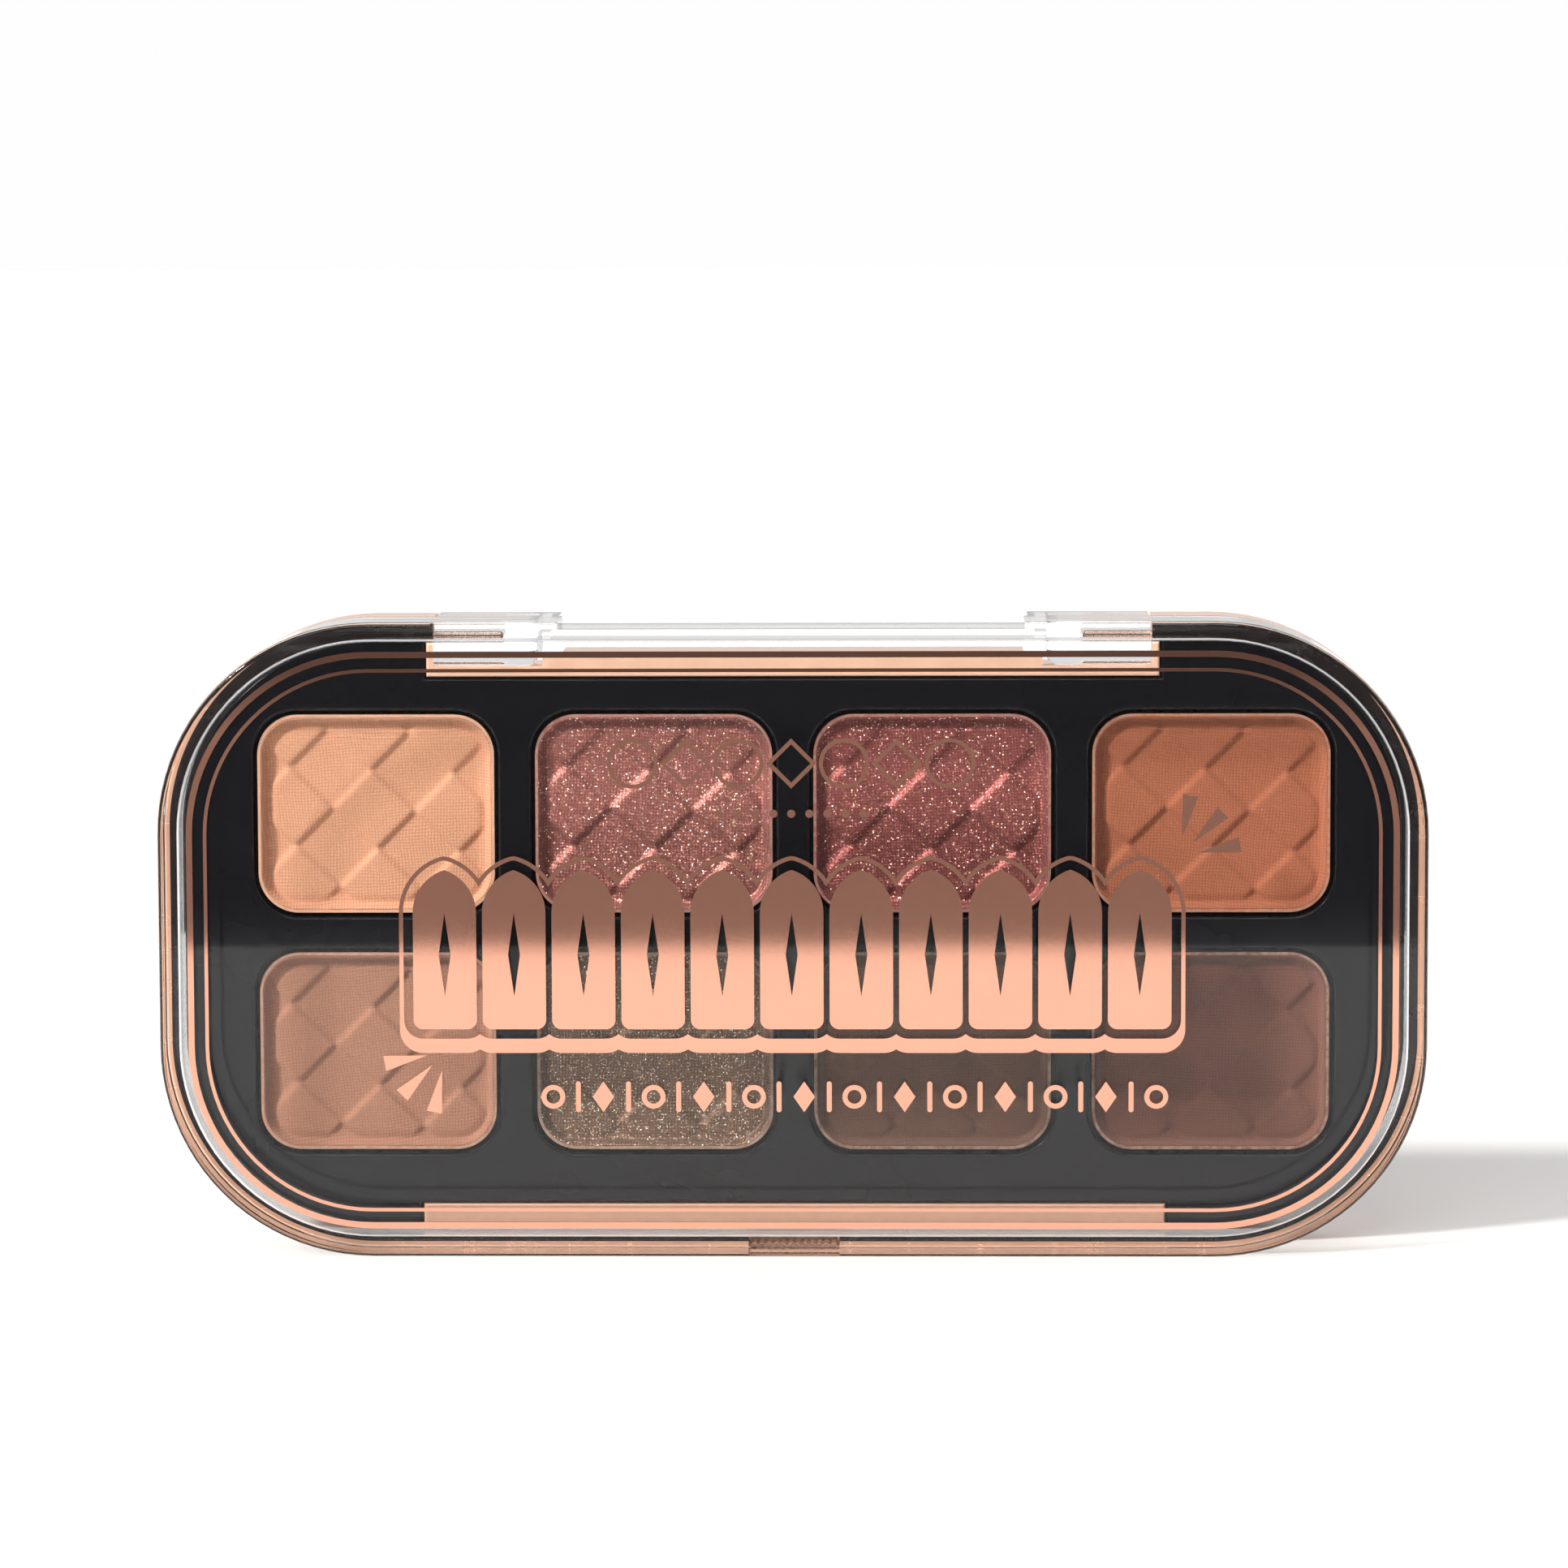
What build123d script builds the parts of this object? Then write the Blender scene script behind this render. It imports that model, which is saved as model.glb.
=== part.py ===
from build123d import *
import os

# Eight-pan eyeshadow compact, closed, standing on its catch edge with the clear lid in front.
# Row frame: +X along the length, +Y from the lid towards the underside of the base, +Z up to the hinge.
# The origin is the middle of the edge that the compact stands on. All lengths are millimetres.

# Cutters run this far past the faces they open; edges this near a plane count as lying in it
PAST = 1.0
ON_PLANE = 0.001

# Case
WIDTH = 106.0
HEIGHT = 53.4
DEPTH = 12.5
CORNER_R = 17.8
MID_Z = HEIGHT / 2
FOIL_T = 0.04
Y_BACK = DEPTH / 2
Y_FACE = -DEPTH / 2
Y_LID = Y_FACE + FOIL_T

# Base shell
BASE_DEPTH = 5.2
BASE_WALL = 2.6
BASE_FLOOR = 1.2
BACK_EDGE_R = 1.2
RIM_EDGE_R = 0.2
Y_RIM = Y_BACK - BASE_DEPTH
Y_BASE_FLOOR = Y_BACK - BASE_FLOOR

# Lid shell
RIM_GAP = 0.1
LID_WALL = 1.5
LID_PLATE = 1.7
LID_EDGE_R = 0.45
LID_INNER_R = 0.25
Y_LID_RIM = Y_RIM - RIM_GAP
Y_LID_INNER = Y_LID + LID_PLATE

# Insert tray and its wells
TRAY_INSET = 1.85
TRAY_PLATE = 1.2
TRAY_EDGE_R = 0.25
WELL_GAP = 0.35
WELL_WALL = 0.8
Y_TRAY = Y_RIM - TRAY_PLATE
Y_WELL_FLOOR = 3.85

# Pans, in two rows of four
PAN_W = 20.0
PAN_H = 16.8
PAN_R = 3.4
PAN_DEEP = 3.3
PAN_SHEET = 0.25
PAN_RECESS = 0.4
COLUMN_PITCH = 23.45
ROW_PITCH = 20.2
Y_PAN = Y_TRAY + PAN_RECESS
POWDER_RECESS = 0.35
POWDER_GAP = 0.02
GLUE_R = 3.2

# Rose-gold pads of the base that show through notches in the tray
HINGE_PAD_HALF = 30.8
HINGE_PAD_LOW = 48.4
HINGE_PAD_TOP = 51.3
NOTCH_LOW = 50.4
CATCH_PAD_HALF = 31.4
CATCH_PAD_LOW = 1.9
CATCH_PAD_TOP = 3.6
PAD_GAP = 0.15
PAD_EDGE_R = 0.2
PAD_ROOT = 0.5

# Hinge
AXIS_Y = 4.3
AXIS_Z = 51.8
LUG_OUT = 30.0
LUG_IN = 21.3
KNUCKLE_IN = 19.75
KNUCKLE_LOW = 52.2
LUG_LOW = 49.45
LUG_NOSE_Y = -2.6
LUG_BACK_Y = 6.1
LUG_SIDE_GAP = 0.15
LUG_NOSE_R = 1.2
LUG_FLANK_R = 0.9
LUG_BACK_R = 0.4
KNUCKLE_CHAMFER = 0.6
# The lid's rim is hollowed round the axis beside the lugs, so that it clears the base as it swings
RELIEF_R = 3.72
RELIEF_END = 46.0
POCKET_IN = 19.4
POCKET_LOW = 49.3
LUG_POCKET_IN = 21.0
KNUCKLE_POCKET_Y = 1.5
RAIL_TOP = 52.8
RAIL_EDGE_R = 0.2
PIN_R = 0.5
PIN_CLEARANCE = 0.05
PIN_TIP = 24.4
PIN_END = 35.0
PIN_TAPER = 0.2
PIN_GROOVES = 5
PIN_GROOVE_PITCH = 0.7
PIN_GROOVE_WIDE = 0.24
PIN_GROOVE_DEEP = 0.04
PIN_PLAIN = 0.6
BORE_END = 24.2

# Catch at the middle of the standing edge
TAB_HALF = 3.65
TAB_LOW = 0.12
TAB_HIGH = 1.3
TAB_END_Y = 3.3
TAB_RIBS = 12
TAB_RIB_DEEP = 0.1
SLOT_HALF = 3.85
SLOT_HIGH = 1.65
SLOT_END_Y = 3.65
TAB_ROOT = 0.5
BEAD_HIGH = 0.25
TAB_BEAD_Y = 2.75
SLOT_BEAD_Y = 1.55
BEAD_LONG = 0.5
BEAD_INSET = 0.6
BEAD_ROOT = 0.2

# Label on the underside
LABEL_W = 58.0
LABEL_H = 24.0
LABEL_R = 2.0
LABEL_T = 0.1
LABEL_GAP = 0.15
LABEL_RECESS = 0.16

# Foil stamped on the lid: (inset of the line's middle, line width)
BORDER_LINES = [(2.7, 0.52), (4.02, 0.3)]

# Foil frieze of upright pointed arches, all alike
FRIEZE_Z = 26.0
FRIEZE_H = 13.4
ARCH_COUNT = 11
ARCH_W = 5.3
ARCH_PITCH = 5.8
ARCH_POINT = 3.6
ARCH_FOOT_R = 0.8
SLIT_W = 1.0
SLIT_H = 7.0
CONTOUR_IN = 0.8
CONTOUR_OUT = 1.15
CONTOUR_DROP = 0.85

# Small foil ornaments
EMBLEM_Z = 41.6
EMBLEM_SHAPES = 7
EMBLEM_SIZE = 4.2
EMBLEM_PITCH = 4.4
EMBLEM_LINE = 0.34
LOZENGE_LINE = 0.5
DOT_ROW_Z = 37.4
DOT_COUNT = 9
DOT_PITCH = 1.5
DOT_R = 0.34
STRIP_Z = 13.6
STRIP_X = 5.2
STRIP_SHAPES = 25
STRIP_PITCH = 2.1
STRIP_SIZE = 2.6
STRIP_LINE = 0.42
STRIP_RING_R = 1.0
STRIP_LOZENGE_W = 1.8
# Fans of foil wedges: (x, z, direction in degrees)
RAY_FANS = [(32.2, 33.8, 45.0), (-29.0, 17.4, 225.0)]
RAY_COUNT = 3
RAY_LONG = 3.6
RAY_WIDE = 1.3
RAY_SPREAD = 34.0
RAY_START = 1.6


def outline(inset):
    """The case's outline from the front, drawn that far inside its edge."""
    return RectangleRounded(WIDTH - 2 * inset, HEIGHT - 2 * inset, CORNER_R - inset)


def slab(sketch, y_from, y_to, x=0.0, z=MID_Z):
    """A sketch centred at (x, z), made solid from y_from forward to y_to."""
    plane = Plane(origin=(x, y_from, z), x_dir=(1, 0, 0), z_dir=(0, -1, 0))
    return extrude(plane * sketch, amount=y_from - y_to)


def block(x_low, x_high, y_low, y_high, z_low, z_high):
    """A box between six planes."""
    size = (x_high - x_low, y_high - y_low, z_high - z_low)
    middle = ((x_low + x_high) / 2, (y_low + y_high) / 2, (z_low + z_high) / 2)
    return Pos(*middle) * Box(*size)


def edges_at_y(solid, y):
    """The edges that lie in the plane at that y."""
    return solid.edges().filter_by_position(Axis.Y, y - ON_PLANE, y + ON_PLANE)


def along_x(radius, x_low, x_high, y=AXIS_Y, z=AXIS_Z):
    """A round bar along X."""
    bar = Cylinder(radius, x_high - x_low, rotation=(0, 90, 0))
    return Pos((x_low + x_high) / 2, y, z) * bar


def both_sides(solid):
    """The solid and its mirror image across the middle of the length."""
    return [solid, mirror(solid, about=Plane.YZ)]


def pan_places():
    """Middle of each pan as (x, z), row by row from the hinge side."""
    rows = [MID_Z + ROW_PITCH / 2, MID_Z - ROW_PITCH / 2]
    columns = [(i - 1.5) * COLUMN_PITCH for i in range(4)]
    return [(x, z) for z in rows for x in columns]


def make_base():
    """Rose-gold tray-shaped base with the hinge notch and the catch slot."""
    base = slab(outline(0), Y_BACK, Y_RIM)
    base = fillet(edges_at_y(base, Y_BACK), BACK_EDGE_R)
    base = fillet(edges_at_y(base, Y_RIM), RIM_EDGE_R)
    base -= slab(outline(BASE_WALL), Y_BASE_FLOOR, Y_RIM - PAST)
    base += make_pad(HINGE_PAD_HALF, HINGE_PAD_LOW, HINGE_PAD_TOP)
    base += make_pad(CATCH_PAD_HALF, CATCH_PAD_LOW, CATCH_PAD_TOP)
    notch_half = LUG_OUT + LUG_SIDE_GAP
    notch = block(-notch_half, notch_half, Y_TRAY - PAST, Y_BACK + PAST, NOTCH_LOW, HEIGHT + PAST)
    base -= notch
    for room in (
        block(LUG_POCKET_IN, notch_half, Y_TRAY - PAST, Y_BACK + PAST, POCKET_LOW, HEIGHT),
        block(POCKET_IN, notch_half, KNUCKLE_POCKET_Y, Y_BACK + PAST, POCKET_LOW, HEIGHT),
    ):
        for pocket in both_sides(room):
            base -= pocket
    for hole in both_sides(along_x(PIN_R, notch_half - PAST, PIN_END)):
        base -= hole
    base -= catch_slot()
    base += slot_bead()
    label_bed = RectangleRounded(LABEL_W + 2 * LABEL_GAP, LABEL_H + 2 * LABEL_GAP, LABEL_R)
    return base - slab(label_bed, Y_BACK + PAST, Y_BACK - LABEL_RECESS)


def make_pad(half, z_low, z_high):
    """Raised bar of the base along a long edge, level with the tray."""
    pad = block(-half, half, Y_TRAY, Y_BASE_FLOOR + PAD_ROOT, z_low, z_high)
    return fillet(edges_at_y(pad, Y_TRAY), PAD_EDGE_R)


def catch_slot():
    """Room in the standing edge for the lid's catch tab."""
    return block(-SLOT_HALF, SLOT_HALF, Y_RIM - PAST, SLOT_END_Y, -PAST, SLOT_HIGH)


def slot_bead():
    """Round bead of the base that the lid's bead snaps past."""
    reach = SLOT_HALF - BEAD_INSET
    bead = along_x(BEAD_LONG / 2, -reach, reach, SLOT_BEAD_Y, SLOT_HIGH)
    return bead & block(-reach, reach, Y_RIM, SLOT_END_Y, SLOT_HIGH - BEAD_HIGH, SLOT_HIGH + BEAD_ROOT)


def make_tray():
    """Black insert: a flat plate with eight closed wells behind it."""
    tray = slab(outline(TRAY_INSET), Y_RIM, Y_TRAY)
    hinge_gap = block(
        -HINGE_PAD_HALF - PAD_GAP,
        HINGE_PAD_HALF + PAD_GAP,
        Y_TRAY - PAST,
        Y_RIM + PAST,
        HINGE_PAD_LOW - PAD_GAP,
        HEIGHT,
    )
    catch_gap = block(
        -CATCH_PAD_HALF - PAD_GAP,
        CATCH_PAD_HALF + PAD_GAP,
        Y_TRAY - PAST,
        Y_RIM + PAST,
        0,
        CATCH_PAD_TOP + PAD_GAP,
    )
    tray -= hinge_gap
    tray -= catch_gap
    well_w = PAN_W + 2 * WELL_GAP
    well_h = PAN_H + 2 * WELL_GAP
    well_r = PAN_R + WELL_GAP
    cup = RectangleRounded(well_w + 2 * WELL_WALL, well_h + 2 * WELL_WALL, well_r + WELL_WALL)
    hollow = RectangleRounded(well_w, well_h, well_r)
    for x, z in pan_places():
        tray += slab(cup, Y_WELL_FLOOR + WELL_WALL, Y_RIM, x, z)
    for x, z in pan_places():
        tray -= slab(hollow, Y_WELL_FLOOR, Y_TRAY - PAST, x, z)
    return fillet(edges_at_y(tray, Y_TRAY), TRAY_EDGE_R)


def make_pan(x, z):
    """One drawn tin pan, open to the front."""
    pan = slab(RectangleRounded(PAN_W, PAN_H, PAN_R), Y_PAN + PAN_DEEP, Y_PAN, x, z)
    inner = RectangleRounded(PAN_W - 2 * PAN_SHEET, PAN_H - 2 * PAN_SHEET, PAN_R - PAN_SHEET)
    return pan - slab(inner, Y_PAN + PAN_DEEP - PAN_SHEET, Y_PAN - PAST, x, z)


def make_powder(x, z):
    """The pressed powder that fills one pan."""
    side = PAN_SHEET + POWDER_GAP
    cake = RectangleRounded(PAN_W - 2 * side, PAN_H - 2 * side, PAN_R - side)
    return slab(cake, Y_PAN + PAN_DEEP - PAN_SHEET, Y_PAN + POWDER_RECESS, x, z)


def make_glue():
    """A flattened dot of hot-melt glue under each pan."""
    return [slab(Circle(GLUE_R), Y_WELL_FLOOR, Y_PAN + PAN_DEEP, x, z) for x, z in pan_places()]


def make_lid():
    """Clear deep lid with two hinge lugs, a lowered rail between them and the catch tab."""
    lid = slab(outline(0), Y_LID_RIM, Y_LID)
    lid = fillet(edges_at_y(lid, Y_LID), LID_EDGE_R)
    lid = fillet(edges_at_y(lid, Y_LID_RIM), RIM_EDGE_R)
    hollow = slab(outline(LID_WALL), Y_LID_RIM + PAST, Y_LID_INNER)
    lid -= fillet(edges_at_y(hollow, Y_LID_INNER), LID_INNER_R)
    lid += square_edge()
    lid -= block(-POCKET_IN, POCKET_IN, Y_LID - PAST, Y_LID_RIM + PAST, RAIL_TOP, HEIGHT + PAST)
    for lug in both_sides(make_lug()):
        lid += lug
    for bore in both_sides(along_x(PIN_R + PIN_CLEARANCE, BORE_END, LUG_OUT + PAST)):
        lid -= bore
    for relief in both_sides(along_x(RELIEF_R, LUG_OUT, RELIEF_END)):
        lid -= relief
    return lid + catch_tab()


def square_edge():
    """Bar that squares the lid's front top edge across the hinge."""
    bar = block(-LUG_OUT, LUG_OUT, Y_LID, Y_LID + LID_EDGE_R, HEIGHT - LID_EDGE_R, HEIGHT)
    front_top = edges_at_y(bar, Y_LID).filter_by(Axis.X).sort_by(Axis.Z)[-1]
    return fillet(front_top, RAIL_EDGE_R)


def make_lug():
    """One hinge lug: a block rounded about the hinge axis, with a knuckle towards the middle."""
    swing_r = AXIS_Z - LUG_LOW
    lug = block(LUG_IN, LUG_OUT, LUG_NOSE_Y, AXIS_Y, LUG_LOW, HEIGHT)
    heel = along_x(swing_r, LUG_IN, LUG_OUT)
    heel &= block(LUG_IN, LUG_OUT, AXIS_Y, LUG_BACK_Y, LUG_LOW - PAST, AXIS_Z)
    lug += heel
    lug += block(LUG_IN, LUG_OUT, AXIS_Y, LUG_BACK_Y, AXIS_Z, HEIGHT)
    nose = lug.edges().filter_by(Axis.X).sort_by(Axis.Y)[:2].sort_by(Axis.Z)[0]
    lug = fillet(nose, LUG_NOSE_R)
    flank = lug.edges().filter_by(Axis.Y).filter_by_position(Axis.Z, LUG_LOW - ON_PLANE, LUG_LOW + ON_PLANE)
    lug = fillet(flank.sort_by(Axis.X)[0], LUG_FLANK_R)
    knuckle = block(KNUCKLE_IN, LUG_IN, LUG_NOSE_Y, LUG_BACK_Y, KNUCKLE_LOW, HEIGHT)
    shoulder = knuckle.edges().filter_by(Axis.Y).sort_by(Axis.Z)[:2].sort_by(Axis.X)[0]
    lug += chamfer(shoulder, KNUCKLE_CHAMFER)
    back_top = edges_at_y(lug, LUG_BACK_Y).filter_by_position(Axis.Z, HEIGHT - ON_PLANE, HEIGHT + ON_PLANE)
    return fillet(back_top, LUG_BACK_R)


def catch_tab():
    """Flexible tab at the middle of the lid's lower wall, ribbed outside, beaded inside."""
    tab = block(-TAB_HALF, TAB_HALF, Y_LID_RIM - TAB_ROOT, TAB_END_Y, TAB_LOW, TAB_HIGH)
    rib_pitch = 2 * TAB_HALF / TAB_RIBS
    for i in range(TAB_RIBS):
        x = (i - (TAB_RIBS - 1) / 2) * rib_pitch
        tab -= block(
            x - rib_pitch / 4,
            x + rib_pitch / 4,
            Y_RIM,
            TAB_END_Y + PAST,
            0,
            TAB_LOW + TAB_RIB_DEEP,
        )
    reach = TAB_HALF - BEAD_INSET
    bead = along_x(BEAD_LONG / 2, -reach, reach, TAB_BEAD_Y, TAB_HIGH)
    return tab + bead


def make_pin():
    """Steel hinge pin on the +X side, with a tapered tip and grip grooves."""
    pin = along_x(PIN_R, PIN_TIP, PIN_END)
    tip = pin.edges().sort_by(Axis.X)[0]
    pin = chamfer(tip, PIN_TAPER)
    for i in range(PIN_GROOVES):
        x = LUG_OUT - PIN_PLAIN - i * PIN_GROOVE_PITCH
        ring = along_x(PIN_R + PAST, x - PIN_GROOVE_WIDE / 2, x + PIN_GROOVE_WIDE / 2)
        pin -= ring - along_x(PIN_R - PIN_GROOVE_DEEP, x - PAST, x + PAST)
    return pin


def make_label():
    """Plain paper label set into the underside."""
    label = RectangleRounded(LABEL_W, LABEL_H, LABEL_R)
    y_bed = Y_BACK - LABEL_RECESS
    return slab(label, y_bed + LABEL_T, y_bed)


def foil(sketch, x=0.0, z=MID_Z):
    """A stamped foil film on the lid's face."""
    return slab(sketch, Y_LID, Y_FACE, x, z)


def make_border(inset, line):
    """One closed foil line that follows the lid's outline."""
    return foil(outline(inset - line / 2) - outline(inset + line / 2))


def lozenge(wide, high):
    """A four-sided diamond."""
    points = [(0, high / 2), (wide / 2, 0), (0, -high / 2), (-wide / 2, 0)]
    return make_face(Polyline(*points, close=True))


def frieze_arch(i):
    """One upright pointed arch of the frieze."""
    half = ARCH_W / 2
    top = FRIEZE_H / 2
    spring = top - ARCH_POINT
    side_r = (ARCH_POINT**2 + half**2) / ARCH_W
    point = Pos(half - side_r, spring) * Circle(side_r)
    point &= Pos(side_r - half, spring) * Circle(side_r)
    point &= Pos(0, spring + ARCH_POINT / 2) * Rectangle(ARCH_W, ARCH_POINT)
    shape = point + Pos(0, (spring - top) / 2) * Rectangle(ARCH_W, spring + top)
    shape = fillet(shape.vertices().sort_by(Axis.Y)[:2], ARCH_FOOT_R)
    return Pos((i - (ARCH_COUNT - 1) / 2) * ARCH_PITCH, 0) * shape


def make_frieze():
    """A row of bold foil arches with a slit each, inside one contour with a heavy foot."""
    shapes = [frieze_arch(i) for i in range(ARCH_COUNT)]
    solids = []
    for shape in shapes:
        middle = shape.center()
        slit = Pos(middle.X, middle.Y) * lozenge(SLIT_W, SLIT_H)
        solids.append(foil(shape - slit, 0, FRIEZE_Z))
    rim = Sketch() + [offset(shape, CONTOUR_OUT) for shape in shapes]
    contour = rim + Pos(0, -CONTOUR_DROP) * rim
    contour -= Sketch() + [offset(shape, CONTOUR_IN) for shape in shapes]
    return solids + foil(contour, 0, FRIEZE_Z).solids()


def make_emblem():
    """A row of thin rings and lozenges over a row of dots."""
    solids = []
    for i in range(EMBLEM_SHAPES):
        if i % 2:
            shape = lozenge(EMBLEM_SIZE, EMBLEM_SIZE)
            shape -= lozenge(EMBLEM_SIZE - 2 * LOZENGE_LINE, EMBLEM_SIZE - 2 * LOZENGE_LINE)
        else:
            shape = Circle(EMBLEM_SIZE / 2) - Circle(EMBLEM_SIZE / 2 - EMBLEM_LINE)
        x = (i - (EMBLEM_SHAPES - 1) / 2) * EMBLEM_PITCH
        solids.append(foil(shape, x, EMBLEM_Z))
    for i in range(DOT_COUNT):
        x = (i - (DOT_COUNT - 1) / 2) * DOT_PITCH
        solids.append(foil(Circle(DOT_R), x, DOT_ROW_Z))
    return solids


def make_strip():
    """A line of small rings, bars and lozenges under the frieze."""
    solids = []
    for i in range(STRIP_SHAPES):
        if i % 4 == 0:
            shape = Circle(STRIP_RING_R) - Circle(STRIP_RING_R - STRIP_LINE)
        elif i % 4 == 2:
            shape = lozenge(STRIP_LOZENGE_W, STRIP_SIZE)
        else:
            shape = SlotOverall(STRIP_SIZE, STRIP_LINE, rotation=90)
        x = STRIP_X + (i - (STRIP_SHAPES - 1) / 2) * STRIP_PITCH
        solids.append(foil(shape, x, STRIP_Z))
    return solids


def make_rays():
    """Two small fans of slim wedges, above the frieze on the right and below it on the left."""
    points = [(0, 0), (RAY_LONG, RAY_WIDE / 2), (RAY_LONG, -RAY_WIDE / 2)]
    wedge = Pos(RAY_START, 0) * make_face(Polyline(*points, close=True))
    solids = []
    for x, z, aim in RAY_FANS:
        for i in range(RAY_COUNT):
            turn = aim + (i - (RAY_COUNT - 1) / 2) * RAY_SPREAD
            solids.append(foil(Rot(0, 0, turn) * wedge, x, z))
    return solids


def save(node, shape):
    """Writes one node's STEP file."""
    if isinstance(shape, list):
        shape = Compound(children=[Solid(part.solid().wrapped) for part in shape])
    export_step(shape, f"parts/{node}.step")


def main():
    os.makedirs("parts", exist_ok=True)
    save("base_shell", make_base())
    save("insert_tray", make_tray())
    for number, (x, z) in enumerate(pan_places(), 1):
        save(f"pan_{number}", make_pan(x, z))
        save(f"powder_{number}", make_powder(x, z))
    save("pan_glue_dots", make_glue())
    pin_right, pin_left = both_sides(make_pin())
    save("hinge_pin_right", pin_right)
    save("hinge_pin_left", pin_left)
    save("underside_label", make_label())
    save("lid_shell", make_lid())
    save("foil_border_wide", make_border(*BORDER_LINES[0]))
    save("foil_border_thin", make_border(*BORDER_LINES[1]))
    save("foil_frieze", make_frieze())
    save("foil_emblem", make_emblem())
    save("foil_strip", make_strip())
    save("foil_rays", make_rays())


main()
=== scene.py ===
import math

import bmesh
import bpy
import numpy as np
from mathutils import Matrix, Vector


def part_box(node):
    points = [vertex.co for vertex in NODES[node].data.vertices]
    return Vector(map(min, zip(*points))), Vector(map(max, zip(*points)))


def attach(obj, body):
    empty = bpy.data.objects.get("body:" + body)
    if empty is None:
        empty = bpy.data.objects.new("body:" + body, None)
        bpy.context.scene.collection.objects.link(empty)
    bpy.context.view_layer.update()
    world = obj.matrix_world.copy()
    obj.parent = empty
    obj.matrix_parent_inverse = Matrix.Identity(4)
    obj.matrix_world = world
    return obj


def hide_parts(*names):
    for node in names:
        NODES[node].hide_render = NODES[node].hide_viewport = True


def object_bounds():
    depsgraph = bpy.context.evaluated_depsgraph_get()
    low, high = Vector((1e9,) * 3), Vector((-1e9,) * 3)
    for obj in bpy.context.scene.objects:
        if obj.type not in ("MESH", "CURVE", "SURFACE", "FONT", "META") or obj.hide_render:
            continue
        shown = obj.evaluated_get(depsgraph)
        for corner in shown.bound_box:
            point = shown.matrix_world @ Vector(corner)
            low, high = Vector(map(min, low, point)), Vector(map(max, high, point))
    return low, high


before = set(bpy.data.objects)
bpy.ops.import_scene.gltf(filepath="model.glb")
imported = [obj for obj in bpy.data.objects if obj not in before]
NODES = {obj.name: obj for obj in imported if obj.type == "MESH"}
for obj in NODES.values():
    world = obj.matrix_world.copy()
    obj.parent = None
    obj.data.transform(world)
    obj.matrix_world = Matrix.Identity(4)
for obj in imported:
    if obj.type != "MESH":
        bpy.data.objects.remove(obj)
cad_low, cad_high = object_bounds()
MM = 0.001


# ---------------------------------------------------------------- camera

CAMERA_DISTANCE = 500 * MM
CAMERA_PITCH = math.radians(7.2)
CAMERA_YAW = math.radians(1.3)
CAMERA_ROLL = math.radians(-0.2)
CAMERA_LENS = 135.9
CAMERA_SENSOR = 36.0
CLIP_NEAR, CLIP_FAR = 0.01, 20
# How far right of and below the middle of the picture the palette's centre sits
OBJECT_RIGHT = 0.75 * MM
OBJECT_DOWN = 12.5 * MM


def make_camera():
    """A long-lens camera a little above the palette, aimed over it as in a catalogue shot."""
    centre = (cad_low + cad_high) / 2
    back = Vector((
        math.sin(CAMERA_YAW) * math.cos(CAMERA_PITCH),
        -math.cos(CAMERA_YAW) * math.cos(CAMERA_PITCH),
        math.sin(CAMERA_PITCH),
    ))
    turn = (-back).to_track_quat("-Z", "Y").to_matrix()
    right, up = turn @ Vector((1, 0, 0)), turn @ Vector((0, 1, 0))
    aim = centre - right * OBJECT_RIGHT + up * OBJECT_DOWN
    place = centre + back * CAMERA_DISTANCE
    look = (aim - place).to_track_quat("-Z", "Y").to_matrix().to_4x4()
    data = bpy.data.cameras.new("camera")
    data.lens = CAMERA_LENS
    data.sensor_width = CAMERA_SENSOR
    data.clip_start, data.clip_end = CLIP_NEAR, CLIP_FAR
    camera = bpy.data.objects.new("camera", data)
    roll = Matrix.Rotation(CAMERA_ROLL, 4, "Z")
    camera.matrix_world = Matrix.Translation(place) @ look @ roll
    bpy.context.scene.collection.objects.link(camera)
    bpy.context.scene.camera = camera


make_camera()


# ---------------------------------------------------------------- node helpers

def add(tree, kind, inputs=None, **settings):
    """One shader node. An input is a number, a colour or another node's socket."""
    node = tree.nodes.new("ShaderNode" + kind)
    for name, value in settings.items():
        setattr(node, name, value)
    for key, value in (inputs or {}).items():
        if isinstance(value, bpy.types.NodeSocket):
            tree.links.new(value, node.inputs[key])
        else:
            node.inputs[key].default_value = value
    return node


def calc(tree, operation, *values):
    """A Math node's result."""
    inputs = dict(enumerate(values))
    return add(tree, "Math", inputs, operation=operation).outputs[0]


def vector_calc(tree, operation, *values):
    """A Vector Math node's vector."""
    return add(tree, "VectorMath", dict(enumerate(values)), operation=operation).outputs[0]


def object_place(tree):
    """Place on the piece, in metres."""
    return add(tree, "TexCoord").outputs["Object"]


def noise(tree, place, grain_mm, detail=2.0, rough=0.5, distortion=0.0):
    """Noise from 0 to 1 with features of about that size."""
    return add(tree, "TexNoise", {
        "Vector": place,
        "Scale": 1 / (grain_mm * MM),
        "Detail": detail,
        "Roughness": rough,
        "Distortion": distortion,
    }).outputs[0]


def spread(tree, value, low, high, to_low, to_high):
    """The value's range from low to high stretched to another range."""
    return add(tree, "MapRange", {0: value, 1: low, 2: high, 3: to_low, 4: to_high}).outputs[0]


def blend_colour(tree, factor, first, second):
    """Two colours mixed by a factor."""
    node = add(tree, "Mix", data_type="RGBA")
    sockets = (node.inputs[0], node.inputs[6], node.inputs[7])
    for socket, value in zip(sockets, (factor, first, second)):
        if isinstance(value, bpy.types.NodeSocket):
            tree.links.new(value, socket)
        elif socket.type == "RGBA":
            socket.default_value = (*value, 1)
        else:
            socket.default_value = value
    return node.outputs[2]


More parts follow.
